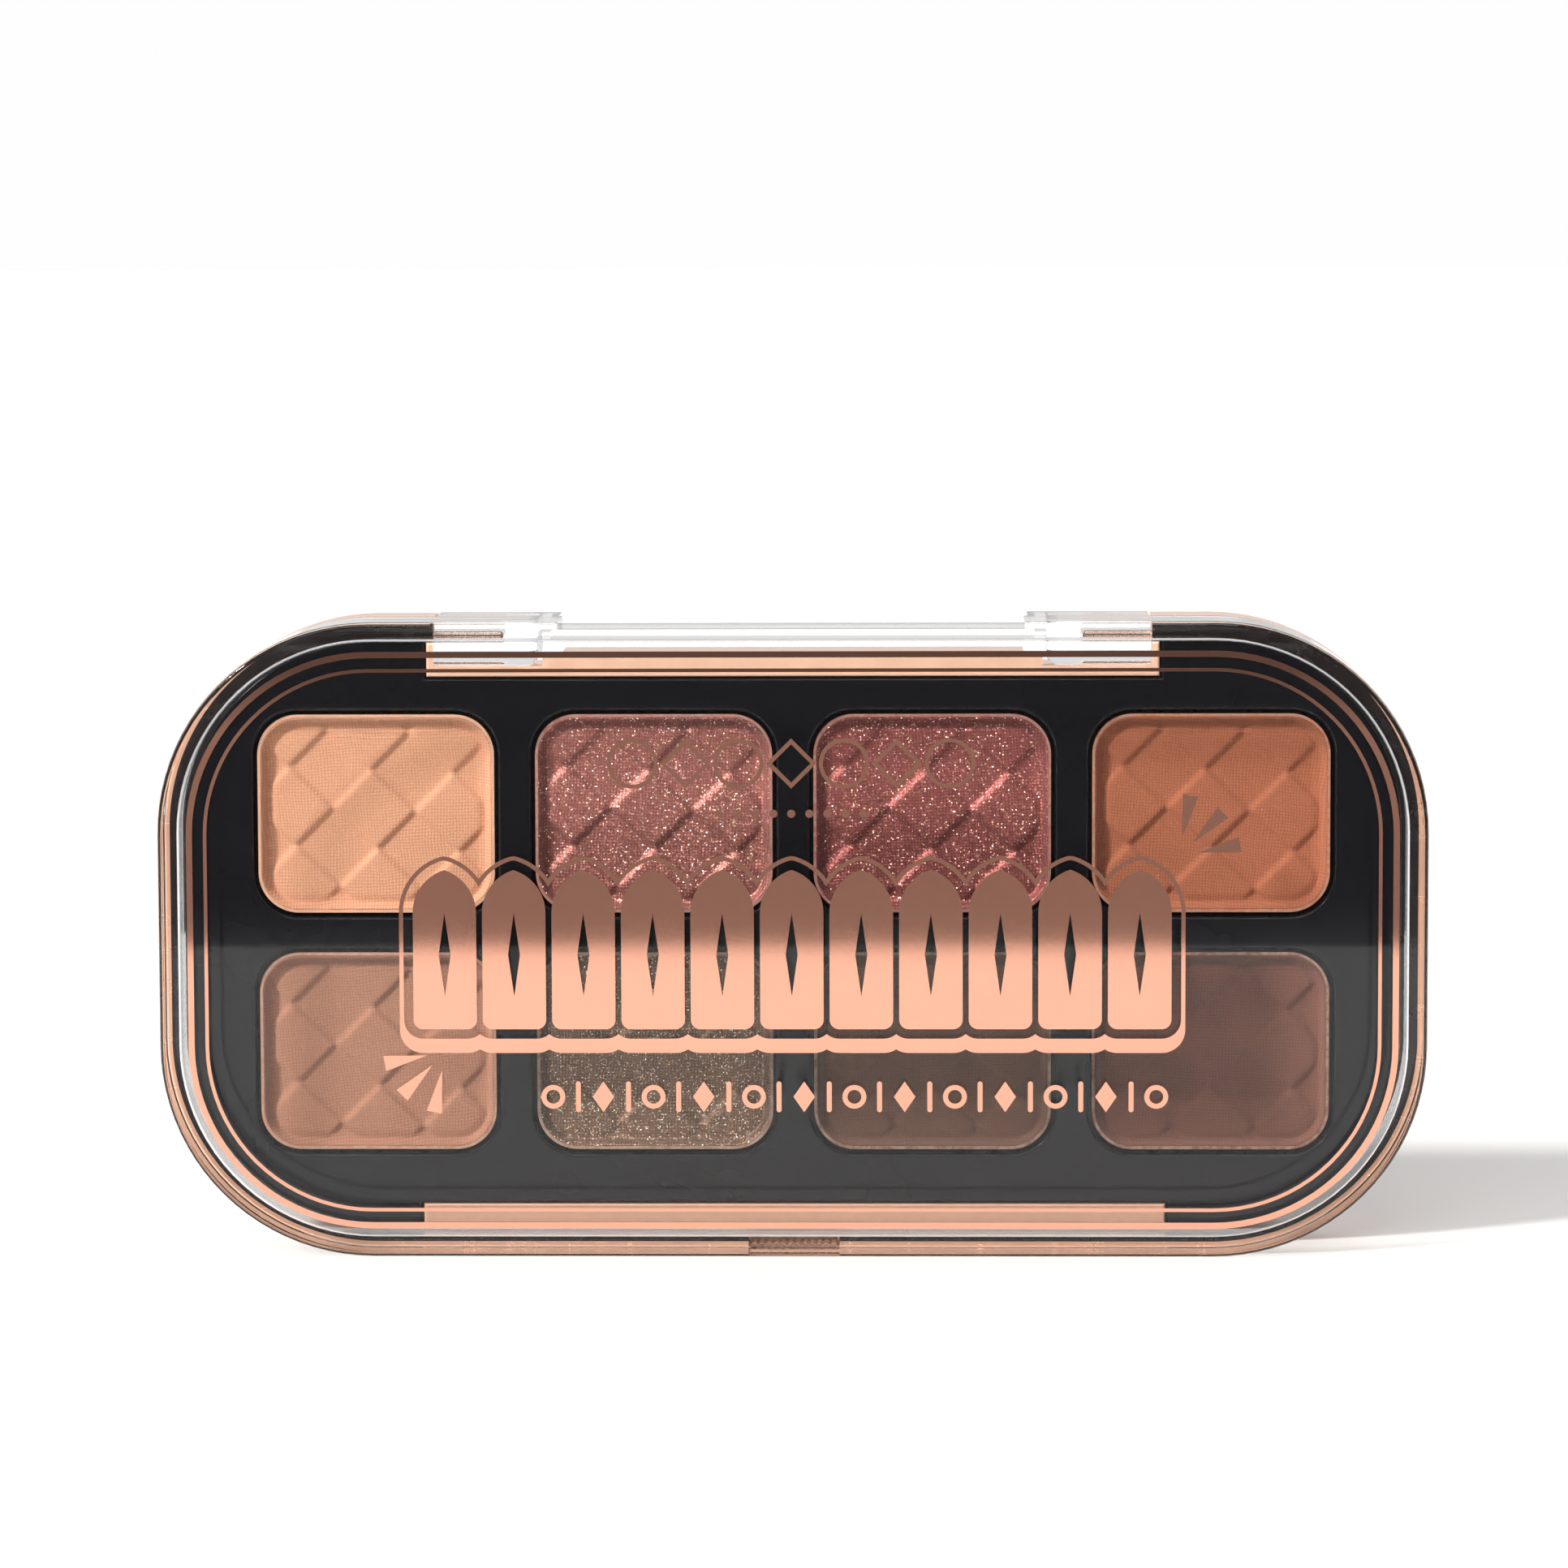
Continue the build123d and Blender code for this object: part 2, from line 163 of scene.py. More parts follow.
def bump(tree, height, depth_mm, strength):
    """Relief from a height between 0 and 1."""
    inputs = {"Height": height, "Distance": depth_mm * MM, "Strength": strength}
    return add(tree, "Bump", inputs).outputs[0]


def material(name, **values):
    """A material with one Principled shader, whose sockets get the values given."""
    made = bpy.data.materials.new(name)
    made.use_nodes = True
    tree = made.node_tree
    tree.nodes.clear()
    output = add(tree, "OutputMaterial")
    shader = add(tree, "BsdfPrincipled")
    tree.links.new(shader.outputs[0], output.inputs[0])
    for key, value in values.items():
        shader.inputs[key.replace("_", " ")].default_value = value
    return made, tree, shader


def wire(tree, shader, **sockets):
    """Links node results to the shader's sockets."""
    for key, socket in sockets.items():
        tree.links.new(socket, shader.inputs[key.replace("_", " ")])


def dress(node, finish):
    """Gives a CAD node, by name, or an object its material."""
    mesh = NODES[node].data if isinstance(node, str) else node.data
    mesh.materials.clear()
    mesh.materials.append(finish)


# ---------------------------------------------------------------- materials

# Behind the pads' faces, and behind the face of the base's rim
PAD_BACK = 0.6 * MM
RIM_BACK = 1.12 * MM
# Width of the rose-gold line along the rim's outer edge, outside its black band
RIM_LINE = 0.47 * MM
# Corner radius of the case's outline
CASE_R = 17.8 * MM
# Black of the rim's face inside that outer line
RIM_FACE_BLACK = (0.010, 0.006, 0.006)


def case_inset(tree, split):
    """Distance inside the case's outline, from the place's x and z."""
    half_x, half_z = (cad_high.x - cad_low.x) / 2, (cad_high.z - cad_low.z) / 2
    middle_z = (cad_high.z + cad_low.z) / 2
    from_x = calc(tree, "ABSOLUTE", split.outputs[0])
    from_z = calc(tree, "ABSOLUTE", calc(tree, "SUBTRACT", split.outputs[2], middle_z))
    over_x = calc(tree, "MAXIMUM", calc(tree, "SUBTRACT", from_x, half_x - CASE_R), 0.0)
    over_z = calc(tree, "MAXIMUM", calc(tree, "SUBTRACT", from_z, half_z - CASE_R), 0.0)
    square_x = calc(tree, "MULTIPLY", over_x, over_x)
    square_z = calc(tree, "MULTIPLY", over_z, over_z)
    reach = calc(tree, "SQRT", calc(tree, "ADD", square_x, square_z))
    return calc(tree, "SUBTRACT", CASE_R, reach)


def make_rose_gold():
    """Vacuum-metallised plastic with faint orange peel, black on the rim's face where the lid sits,
    inside a thin outer line; the pads carry painted light, lighter towards the top and darker
    towards the bottom.
    """
    made, tree, shader = material("rose_gold_plastic")
    place = object_place(tree)
    cloud = noise(tree, place, 9, 3)
    fine = noise(tree, place, 0.5, 2)
    split = add(tree, "SeparateXYZ", {0: place})
    pad = calc(tree, "LESS_THAN", split.outputs[1], PAD_BACK)
    outer = calc(tree, "LESS_THAN", case_inset(tree, split), RIM_LINE)
    front = calc(tree, "LESS_THAN", split.outputs[1], RIM_BACK)
    # The rim's face inside the thin outer line and off the pads is coloured black and not metallic
    covered = calc(tree, "SUBTRACT", 1.0, calc(tree, "MAXIMUM", pad, outer))
    bare = calc(tree, "MULTIPLY", front, covered)
    tint = blend_colour(tree, cloud, (0.92, 0.52, 0.35), (0.95, 0.55, 0.38))
    # Painted light: the pads are painted lighter towards the top and darker towards the bottom, as
    # a light from above would leave them
    painted_light_up = spread(tree, split.outputs[2], 5 * MM, 40 * MM, 0, 1)
    pad_painted_light = blend_colour(tree, painted_light_up, (0.53, 0.305, 0.215), (0.98, 0.62, 0.44))
    tint = blend_colour(tree, pad, tint, pad_painted_light)
    specks = spread(tree, fine, 0.3, 0.7, 0, 0.12)
    tint = blend_colour(tree, specks, tint, (0.86, 0.46, 0.31))
    haze = spread(tree, noise(tree, place, 3, 4, 0.7), 0.4, 0.7, 0.22, 0.30)
    haze = calc(tree, "ADD", haze, calc(tree, "MULTIPLY", pad, 0.16))
    scratches = noise(tree, vector_calc(tree, "MULTIPLY", place, (0.3, 0.3, 12)), 1.4, 2, 0.6)
    marks = spread(tree, scratches, 0.62, 0.72, 0.0, 0.03)
    behind = spread(tree, split.outputs[1], RIM_BACK, 3 * MM, 0, 1)
    haze = calc(tree, "SUBTRACT", haze, calc(tree, "MULTIPLY", behind, 0.07))
    metal = spread(tree, pad, 0, 1, 0.55, 0.45)
    metal = calc(tree, "ADD", metal, calc(tree, "MULTIPLY", behind, 0.33))
    wire(
        tree,
        shader,
        Base_Color=blend_colour(tree, bare, tint, RIM_FACE_BLACK),
        Metallic=calc(tree, "MULTIPLY", metal, calc(tree, "SUBTRACT", 1.0, bare)),
        Roughness=calc(tree, "ADD", haze, marks),
        Normal=bump(tree, noise(tree, place, 3.2, 1), 0.003, 0.3),
    )
    return made


def make_black():
    """Glossy black polystyrene of the insert, with moulding haze and a fine skin."""
    made, tree, shader = material("black_plastic", IOR=1.52, Specular_IOR_Level=0.22)
    place = object_place(tree)
    flow = noise(tree, place, 14, 3, 0.6, 0.6)
    fine = noise(tree, place, 0.25, 3, 0.7)
    haze = spread(tree, flow, 0.3, 0.7, 0.05, 0.10)
    skin = spread(tree, fine, 0.4, 0.8, 0.0, 0.02)
    wire(
        tree,
        shader,
        Base_Color=blend_colour(tree, flow, (0.0045, 0.0045, 0.0060), (0.0075, 0.0075, 0.0095)),
        Roughness=calc(tree, "ADD", haze, skin),
        Normal=bump(tree, noise(tree, place, 5, 1), 0.003, 0.15),
    )
    return made


def make_clear():
    """Crystal-clear lid plastic that lets lamplight through to what it covers."""
    made, tree, shader = material(
        "clear_plastic",
        Transmission_Weight=1.0,
        IOR=1.47,
        Base_Color=(0.975, 0.98, 0.985, 1),
        Specular_Tint=(0.46, 0.46, 0.46, 1),
    )
    place = object_place(tree)
    smudge = noise(tree, place, 12, 4, 0.6)
    smudge = spread(tree, smudge, 0.55, 0.75, 0.0, 0.004)
    hairlines = noise(tree, vector_calc(tree, "MULTIPLY", place, (1.4, 1.4, 22)), 2.2, 4, 0.75)
    hairlines = spread(tree, hairlines, 0.67, 0.72, 0.0, 0.008)
    wire(
        tree,
        shader,
        Roughness=calc(tree, "ADD", smudge, hairlines),
        Normal=bump(tree, noise(tree, place, 7, 1), 0.003, 0.25),
    )
    output = tree.nodes["Material Output"]
    path = add(tree, "LightPath")
    through = add(tree, "BsdfTransparent", {0: (0.92, 0.92, 0.92, 1)})
    lit = calc(tree, "MAXIMUM", path.outputs["Is Shadow Ray"], path.outputs["Is Diffuse Ray"])
    mix = add(tree, "MixShader", {0: lit, 1: shader.outputs[0], 2: through.outputs[0]})
    tree.links.new(mix.outputs[0], output.inputs[0])
    return made


def make_foil():
    """Hot-stamped rose-gold film with a fine grain, and painted shade that darkens it towards the
    hinge.
    """
    made, tree, shader = material("rose_gold_foil", Metallic=0.86)
    place = object_place(tree)
    grain = noise(tree, place, 0.035, 2, 0.8)
    cloud = noise(tree, place, 4, 3)
    grainy = spread(tree, grain, 0.35, 0.65, 0, 1)
    cloudy = spread(tree, cloud, 0.35, 0.7, 0, 0.2)
    colour = blend_colour(tree, grainy, (0.81, 0.385, 0.265), (0.86, 0.445, 0.32))
    satin = blend_colour(tree, cloudy, colour, (0.77, 0.365, 0.25))
    height = add(tree, "SeparateXYZ", {0: place}).outputs[2]
    # Painted shade: the foil is darkened to deep brown over the last few millimetres below the
    # hinge
    painted_shade_near_hinge = spread(tree, height, 44 * MM, 49.5 * MM, 0, 0.66)
    wire(
        tree,
        shader,
        Base_Color=blend_colour(tree, painted_shade_near_hinge, satin, (0.10, 0.05, 0.035)),
        Roughness=spread(tree, grain, 0.40, 0.60, 0.02, 0.07),
        Normal=bump(tree, grain, 0.0015, 0.15),
    )
    return made


# Depths below a pan's rim down to which powder dust covers it wholly, and at all
DUST_FULL = 0.3 * MM
DUST_END = 0.9 * MM


def make_tin(number):
    """Drawn tinplate with faint rolling lines, its rim dusted with the shade that it holds."""
    made, tree, shader = material(f"tinplate_{number}")
    place = object_place(tree)
    lines = noise(tree, vector_calc(tree, "MULTIPLY", place, (1, 1, 40)), 1.5, 3)
    stain = noise(tree, place, 2, 3)
    bare = blend_colour(tree, stain, (0.50, 0.38, 0.30), (0.62, 0.49, 0.40))
    dust = spread(tree, noise(tree, place, 0.6, 4, 0.7), 0.40, 0.62, 0.55, 0.95)
    depth = add(tree, "SeparateXYZ", {0: place}).outputs[1]
    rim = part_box(f"pan_{number}")[0].y
    near_rim = spread(tree, depth, rim + DUST_END, rim + DUST_FULL, 0, 1)
    dusted = calc(tree, "MULTIPLY", dust, near_rim)
    rolled = spread(tree, lines, 0.3, 0.7, 0.22, 0.42)
    wire(
        tree,
        shader,
        Base_Color=blend_colour(tree, dusted, bare, POWDERS[number]["light"]),
        Metallic=calc(tree, "SUBTRACT", 1.0, calc(tree, "MULTIPLY", dusted, 0.9)),
        Roughness=calc(tree, "MAXIMUM", rolled, calc(tree, "MULTIPLY", dusted, 0.8)),
        Normal=bump(tree, lines, 0.004, 0.15),
    )
    return made


def make_steel():
    """Drawn steel of the hinge pins."""
    made, tree, shader = material("pin_steel", Metallic=1.0)
    place = object_place(tree)
    rings = noise(tree, vector_calc(tree, "MULTIPLY", place, (30, 1, 1)), 1.2, 3)
    wire(
        tree,
        shader,
        Base_Color=blend_colour(tree, rings, (0.33, 0.24, 0.20), (0.48, 0.37, 0.32)),
        Roughness=spread(tree, rings, 0.3, 0.7, 0.15, 0.35),
        Normal=bump(tree, rings, 0.006, 0.5),
    )
    return made


def make_glue():
    """Milky hot-melt adhesive with stringy waves."""
    made, tree, shader = material("hot_melt_glue", Subsurface_Weight=0.5, Subsurface_Scale=0.5 * MM)
    place = object_place(tree)
    waves = noise(tree, place, 0.9, 2, 0.5, 1.5)
    wire(
        tree,
        shader,
        Base_Color=blend_colour(tree, waves, (0.84, 0.79, 0.66), (0.90, 0.87, 0.79)),
        Roughness=spread(tree, waves, 0.3, 0.7, 0.25, 0.45),
        Normal=bump(tree, waves, 0.06, 0.6),
    )
    return made


def make_paper():
    """Coated label paper: faint fibres, a slightly uneven gloss."""
    made, tree, shader = material("label_paper", Sheen_Weight=0.05)
    place = object_place(tree)
    fibres = noise(tree, vector_calc(tree, "MULTIPLY", place, (1, 1, 2.5)), 0.25, 5, 0.75, 0.8)
    wire(
        tree,
        shader,
        Base_Color=blend_colour(tree, fibres, (0.80, 0.78, 0.75), (0.88, 0.87, 0.85)),
        Roughness=spread(tree, fibres, 0.3, 0.7, 0.45, 0.6),
        Normal=bump(tree, fibres, 0.012, 0.5),
    )
    return made


# Pressed powders: the cloth's turn in degrees, the colour on the weave's threads and the one
# between them (painted shade in the hollows, also used for crumbs and the banks' painted shade),
# and for the shimmer shades the share of flakes and their tints
POWDERS = {
    1: dict(
        slot="powder_peach", turn=1.5,
        light=(0.84, 0.43, 0.26), deep=(0.62, 0.29, 0.165),
    ),
    2: dict(
        slot="powder_mauve_shimmer", turn=-2.5,
        light=(0.43, 0.155, 0.125), deep=(0.25, 0.086, 0.070), flakes=0.25,
        tints=[(1.0, 0.78, 0.50), (1.0, 0.60, 0.62), (0.80, 0.92, 0.82), (1.0, 0.88, 0.62)],
    ),
    3: dict(
        slot="powder_rose_shimmer", turn=3.0,
        light=(0.34, 0.094, 0.080), deep=(0.19, 0.048, 0.041), flakes=0.25,
        tints=[(1.0, 0.62, 0.48), (1.0, 0.48, 0.54), (0.84, 0.82, 0.78), (1.0, 0.74, 0.46)],
    ),
    4: dict(
        slot="powder_rust", turn=-4.0,
        light=(0.45, 0.147, 0.070), deep=(0.31, 0.092, 0.040),
    ),
    5: dict(
        slot="powder_tan_brown", turn=5.0,
        light=(0.46, 0.215, 0.13), deep=(0.33, 0.148, 0.086),
    ),
    6: dict(
        slot="powder_taupe_glitter", turn=-1.5,
        light=(0.29, 0.165, 0.102), deep=(0.125, 0.070, 0.043), flakes=0.45,
        tints=[(1.0, 0.86, 0.52), (0.95, 0.88, 0.76), (1.0, 0.76, 0.44), (0.78, 0.92, 0.82)],
    ),
    7: dict(
        slot="powder_taupe", turn=1.0,
        light=(0.165, 0.075, 0.043), deep=(0.115, 0.050, 0.028),
    ),
    8: dict(
        slot="powder_dark_brown", turn=-3.0,
        light=(0.19, 0.070, 0.042), deep=(0.13, 0.046, 0.027),
    ),
}
WEAVE_MM = 0.26
WEAVE_DEEP_MM = 0.045
FLAKE_MM = 0.15
# Share of the flakes that are painted glints, pale and barely metallic, so that they shine from
# every side
GLINT_FLAKE_SHARE = 0.30
# Painted shade on the banks along the top and left sides, which face away from the key light: how
# much of it, and how dark
BANK_SHADE_SHARE = 0.50
BANK_SHADE_DARKNESS = 0.62


def weave_height(tree, place, turn):
    """Imprint of plain-woven pressing cloth, laid at that angle."""
    turned = {"Vector": place, "Angle": math.radians(turn)}
    laid = add(tree, "VectorRotate", turned, rotation_type="Y_AXIS")
    split = add(tree, "SeparateXYZ", {0: laid.outputs[0]})
    wobble = calc(tree, "SUBTRACT", noise(tree, place, 4, 1), 0.5)
    wobble = calc(tree, "MULTIPLY", wobble, 0.7 * MM)
    rate = math.pi / (WEAVE_MM * MM)
    along = calc(tree, "MULTIPLY", calc(tree, "ADD", split.outputs[0], wobble), rate)
    across = calc(tree, "MULTIPLY", calc(tree, "ADD", split.outputs[2], wobble), rate)
    thread_x = calc(tree, "ABSOLUTE", calc(tree, "SINE", along))
    thread_z = calc(tree, "ABSOLUTE", calc(tree, "SINE", across))
    return calc(tree, "MULTIPLY", thread_x, thread_z)


def bank_share(tree, place, number):
    """How far a place lies up the bank that rises to the pan's top and left sides, 0 to 1: the mask
    of the painted shade on the banks.
    """
    low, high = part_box(f"powder_{number}")
    split = add(tree, "SeparateXYZ", {0: place})
    streaks = noise(tree, vector_calc(tree, "MULTIPLY", place, (0.16, 1, 1.6)), 0.6, 4, 0.7)
    shift = spread(tree, streaks, 0.3, 0.7, -0.35 * MM, 0.35 * MM)
    up = calc(tree, "ADD", split.outputs[2], shift)
    along = calc(tree, "SUBTRACT", split.outputs[0], shift)
    top = spread(tree, up, high.z - 1.45 * MM, high.z - 0.85 * MM, 0, 1)
    left = spread(tree, along, low.x + 0.95 * MM, low.x + 0.45 * MM, 0, 1)
    return calc(tree, "MAXIMUM", top, left)


def make_powder_finish(number, slot, light, deep, turn, flakes=0.0, tints=()):
    """Pressed powder with a cloth imprint, painted shade between its threads and on the top and
    left banks; shimmer shades carry turned metallic flakes, some of them pale painted glints.
    """
    made, tree, shader = material(slot, Sheen_Weight=0.12, Sheen_Roughness=0.6, IOR=1.4)
    place = object_place(tree)
    cloth = weave_height(tree, place, turn)
    crumb = noise(tree, place, 0.10, 3, 0.8)
    cloud = noise(tree, place, 3.5, 3)
    height = calc(tree, "ADD", cloth, calc(tree, "MULTIPLY", crumb, 0.5))
    relief = bump(tree, height, WEAVE_DEEP_MM, 0.42 if flakes else 0.60)
    # Painted shade: the colour is darker between the weave's threads
    shade = blend_colour(tree, spread(tree, cloth, 0.0, 0.75, 0.05, 1.0), deep, light)
    dust = blend_colour(tree, spread(tree, crumb, 0.3, 0.75, 0, 0.35), shade, deep)
    worn_and_shaded = blend_colour(tree, spread(tree, cloud, 0.45, 0.75, 0, 0.22), dust, light)
    # Painted shade on the top and left banks
    bank = calc(tree, "MULTIPLY", bank_share(tree, place, number), BANK_SHADE_SHARE)
    worn_and_shaded = blend_colour(tree, bank, worn_and_shaded, [value * BANK_SHADE_DARKNESS for value in deep])
    if not flakes:
        rough = spread(tree, crumb, 0.3, 0.7, 0.75, 0.95)
        wire(tree, shader, Base_Color=worn_and_shaded, Normal=relief, Roughness=rough)
        return made
    grid = {"Vector": place, "Scale": 1 / (FLAKE_MM * MM)}
    cells = add(tree, "TexVoronoi", grid, feature="F1")
    pick = add(tree, "SeparateColor", {0: cells.outputs["Color"]})
    chosen = calc(tree, "LESS_THAN", pick.outputs[0], flakes)
    radius = spread(tree, pick.outputs[2], 0, 1, 0.20, 0.40)
    small = calc(tree, "LESS_THAN", cells.outputs["Distance"], radius)
    flake = calc(tree, "MULTIPLY", chosen, small)
    # Painted glints: pale flakes with little metal, bright from every side
    painted_glint = calc(tree, "LESS_THAN", pick.outputs[0], flakes * GLINT_FLAKE_SHARE)
    painted_glint = calc(tree, "MULTIPLY", flake, painted_glint)
    metal = spread(tree, flake, 0, 1, 0.45, 0.90)
    tint = add(tree, "ValToRGB", {0: pick.outputs[1]})
    tint.color_ramp.interpolation = "CONSTANT"
    stops = tint.color_ramp.elements
    for i, colour in enumerate(tints):
        stop = stops[i] if i < 2 else stops.new(i / len(tints))
        stop.position = i / len(tints)
        stop.color = (*colour, 1)
    tilt = vector_calc(tree, "SUBTRACT", cells.outputs["Color"], (0.5, 0.5, 0.5))
    lean = spread(tree, flake, 0, 1, 0.42, 1.0)
    tilt = add(tree, "VectorMath", {0: tilt, 3: lean}, operation="SCALE")
    facet = vector_calc(tree, "NORMALIZE", vector_calc(tree, "ADD", relief, tilt.outputs[0]))
    wire(
        tree,
        shader,
        Base_Color=blend_colour(tree, flake, worn_and_shaded, tint.outputs[0]),
        Metallic=calc(tree, "SUBTRACT", metal, calc(tree, "MULTIPLY", painted_glint, 0.8)),
        Roughness=spread(tree, flake, 0, 1, 0.40, 0.24),
        Normal=facet,
    )
    return made


# ---------------------------------------------------------------- powder cakes

# All in millimetres: the mesh's step, the cake's corner radius, its bank's height and width, the
# width that the bank gains along the top and left sides, and how deep the face lies
GRID_MM = 0.14
CAKE_R = 3.13
EDGE_RISE = 0.34
EDGE_WIDE = 0.60
EDGE_WIDER_TOP = 0.50
EDGE_WIDER_LEFT = 0.12
FACE_SINK = 0.46
# The banks widen between these shares of the way from the middle to the side
BANK_FROM, BANK_SPAN = 0.6, 0.3
# Creases along the top bank, and soft unevenness of the face and the bank
CREASE_MM = 0.45
CREASE_DEEP = 0.03
FACE_UNEVEN = 0.03
BANK_UNEVEN = 0.03
# The quilt's two directions, where its seams cross, its height, and how sharply it steps
QUILT_A = (3.2, 3.2)
QUILT_B = (3.72, -3.48)
QUILT_START = (-3.68, 0.44)
QUILT_STEP = 0.17
QUILT_SHARP = 8.0
# The quilt fades in between these distances from the side
QUILT_FROM, QUILT_SPAN = 0.5, 0.7
# The first cake's random seed is one more than this
SEED = 40


def corner_samples(half, radius, step):
    """Places along one side from -half to half, closer together where the corners turn."""
    arc = [half - radius + radius * math.sin(t) for t in np.linspace(0, math.pi / 2, 22)]
    count = max(2, round(2 * (half - radius) / step))
    flat = list(np.linspace(-(half - radius), half - radius, count))
    return np.array([-a for a in reversed(arc[1:])] + flat + arc[1:])


def rounded_distance(x, z, half_w, half_h, radius):
    """Distance inside a rounded rectangle's outline."""
    dx = np.abs(x) - (half_w - radius)
    dz = np.abs(z) - (half_h - radius)
    outside = np.hypot(np.maximum(dx, 0), np.maximum(dz, 0))
    return radius - outside - np.minimum(np.maximum(dx, dz), 0)


def smooth_noise(rng, x, z, cell):
    """Soft random relief between -1 and 1 made of a few turned waves."""
    waves = 7
    total = np.zeros_like(x)
    for _ in range(waves):
        angle, phase = rng.uniform(0, math.tau, 2)
        wave = math.tau / (cell * rng.uniform(0.7, 1.6))
        total += np.sin((x * math.cos(angle) + z * math.sin(angle)) * wave + phase)
    return total / waves


def quilt(x, z):
    """Height of the pressed quilt: diamonds that stand alternately high and low."""
    ax, az = QUILT_A
    bx, bz = QUILT_B
    det = ax * bz - bx * az
    px, pz = x - QUILT_START[0], z - QUILT_START[1]
    s = (px * bz - pz * bx) / det
    t = (ax * pz - az * px) / det
    return np.tanh(QUILT_SHARP * np.sin(math.pi * s)) * np.tanh(QUILT_SHARP * np.sin(math.pi * t))


def make_cake(number, finish):
    """One pressed-powder cake with a quilted, slightly sunken face that rises to the pan's rim."""
    low, high = (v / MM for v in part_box(f"powder_{number}"))
    half_w, half_h = (high.x - low.x) / 2, (high.z - low.z) / 2
    cx, cz = (high.x + low.x) / 2, (high.z + low.z) / 2
    rng = np.random.default_rng(SEED + number)
    xs = corner_samples(half_w, CAKE_R, GRID_MM)
    vs = np.linspace(-1, 1, round(2 * half_h / GRID_MM))
    over = np.maximum(np.abs(xs) - (half_w - CAKE_R), 0)
    reach = half_h - CAKE_R + np.sqrt(np.maximum(CAKE_R**2 - over**2, 0))
    x = np.repeat(xs[:, None], len(vs), 1)
    z = reach[:, None] * vs[None, :]
    inside = rounded_distance(x, z, half_w, half_h, CAKE_R)
    near_top = np.clip((z / half_h - BANK_FROM) / BANK_SPAN, 0, 1)
    near_left = np.clip((-x / half_w - BANK_FROM) / BANK_SPAN, 0, 1)
    edge_wide = EDGE_WIDE + EDGE_WIDER_TOP * near_top + EDGE_WIDER_LEFT * near_left
    slope = np.clip(inside / edge_wide, 0, 1)
    slope = slope * slope * (3 - 2 * slope)
    ragged = smooth_noise(rng, x, z, 1.1) * BANK_UNEVEN * (1 - slope)
    wavy = z + smooth_noise(rng, x, z, 5) * 0.3
    creases = np.sin(wavy * math.tau / CREASE_MM) * near_top * CREASE_DEEP
    calm = np.clip((inside - QUILT_FROM) / QUILT_SPAN, 0, 1)
    relief = quilt(x, z) * QUILT_STEP * calm + smooth_noise(rng, x, z, 7) * FACE_UNEVEN + creases
    y = low.y - EDGE_RISE * (1 - slope) + (FACE_SINK - relief) * slope + ragged
    rows, columns = x.shape
    front = np.stack([x + cx, y, z + cz], -1).reshape(-1, 3)
    border = (
        [(0, j) for j in range(columns)]
        + [(i, columns - 1) for i in range(1, rows)]
        + [(rows - 1, j) for j in range(columns - 2, -1, -1)]
        + [(i, 0) for i in range(rows - 2, 0, -1)]
    )
    rim = [i * columns + j for i, j in border]
    foot = front[rim].copy()
    foot[:, 1] = high.y
    corners = np.vstack([front, foot]) * MM
    faces = []
    for i in range(rows - 1):
        for j in range(columns - 1):
            a = i * columns + j
            faces.append((a, a + columns, a + columns + 1, a + 1))
    start = rows * columns
    for k in range(len(rim)):
        n = (k + 1) % len(rim)
        faces.append((rim[k], rim[n], start + n, start + k))
    faces.append(tuple(start + k for k in range(len(rim))))
    mesh = bpy.data.meshes.new(f"cake_{number}")
    mesh.from_pydata(corners.tolist(), [], faces)
    build = bmesh.new()
    build.from_mesh(mesh)
    bmesh.ops.recalc_face_normals(build, faces=build.faces)
    build.to_mesh(mesh)
    build.free()
    mesh.polygons.foreach_set("use_smooth", [True] * (len(faces) - 1) + [False])
    cake = bpy.data.objects.new(f"powder_cake_{number}", mesh)
    bpy.context.scene.collection.objects.link(cake)
    mesh.materials.append(finish)
    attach(cake, "base")
    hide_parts(f"powder_{number}")


# ---------------------------------------------------------------- dressing the CAD nodes

WELD_GAP = 0.0005 * MM
PAN_EDGE = 0.09 * MM
PAN_EDGE_ANGLE = math.radians(40)


def soften(node):
    """Rounds a drawn pan's hard edges a little."""
    piece = NODES[node]
    weld = piece.modifiers.new("weld", "WELD")
    weld.merge_threshold = WELD_GAP
    bevel = piece.modifiers.new("bevel", "BEVEL")
    bevel.width = PAN_EDGE
    bevel.segments = 3
    bevel.limit_method = "ANGLE"
    bevel.angle_limit = PAN_EDGE_ANGLE
    bevel.harden_normals = True


rose_gold, black, clear = make_rose_gold(), make_black(), make_clear()
foil, steel = make_foil(), make_steel()
dress("base_shell", rose_gold)
dress("insert_tray", black)
dress("lid_shell", clear)
dress("pan_glue_dots", make_glue())
dress("underside_label", make_paper())
for side in ("left", "right"):
    dress(f"hinge_pin_{side}", steel)
for part in ("border_wide", "border_thin", "frieze", "emblem", "strip", "rays"):
    dress(f"foil_{part}", foil)
for number in range(1, 9):
    dress(f"pan_{number}", make_tin(number))
    soften(f"pan_{number}")
    make_cake(number, make_powder_finish(number, **POWDERS[number]))


# ---------------------------------------------------------------- stage and light

FLOOR_HALF = 6.0
# The floor lies this far under the palette's foot
FLOOR_GAP = 0.00002
# The floor's colour in light that has bounced off the palette
FLOOR_BOUNCE = (0.61, 0.60, 0.59)
# The dark card starts this far in front and turns solid over the next distance
CARD_NEAR = 0.203
CARD_FADE = 0.005
CARD_RISE = 0.0005
# Brightness of the surroundings in front, behind, and how much more there is above
WORLD_DIM = 0.05
WORLD_BRIGHT = 0.78
WORLD_ABOVE = 0.10
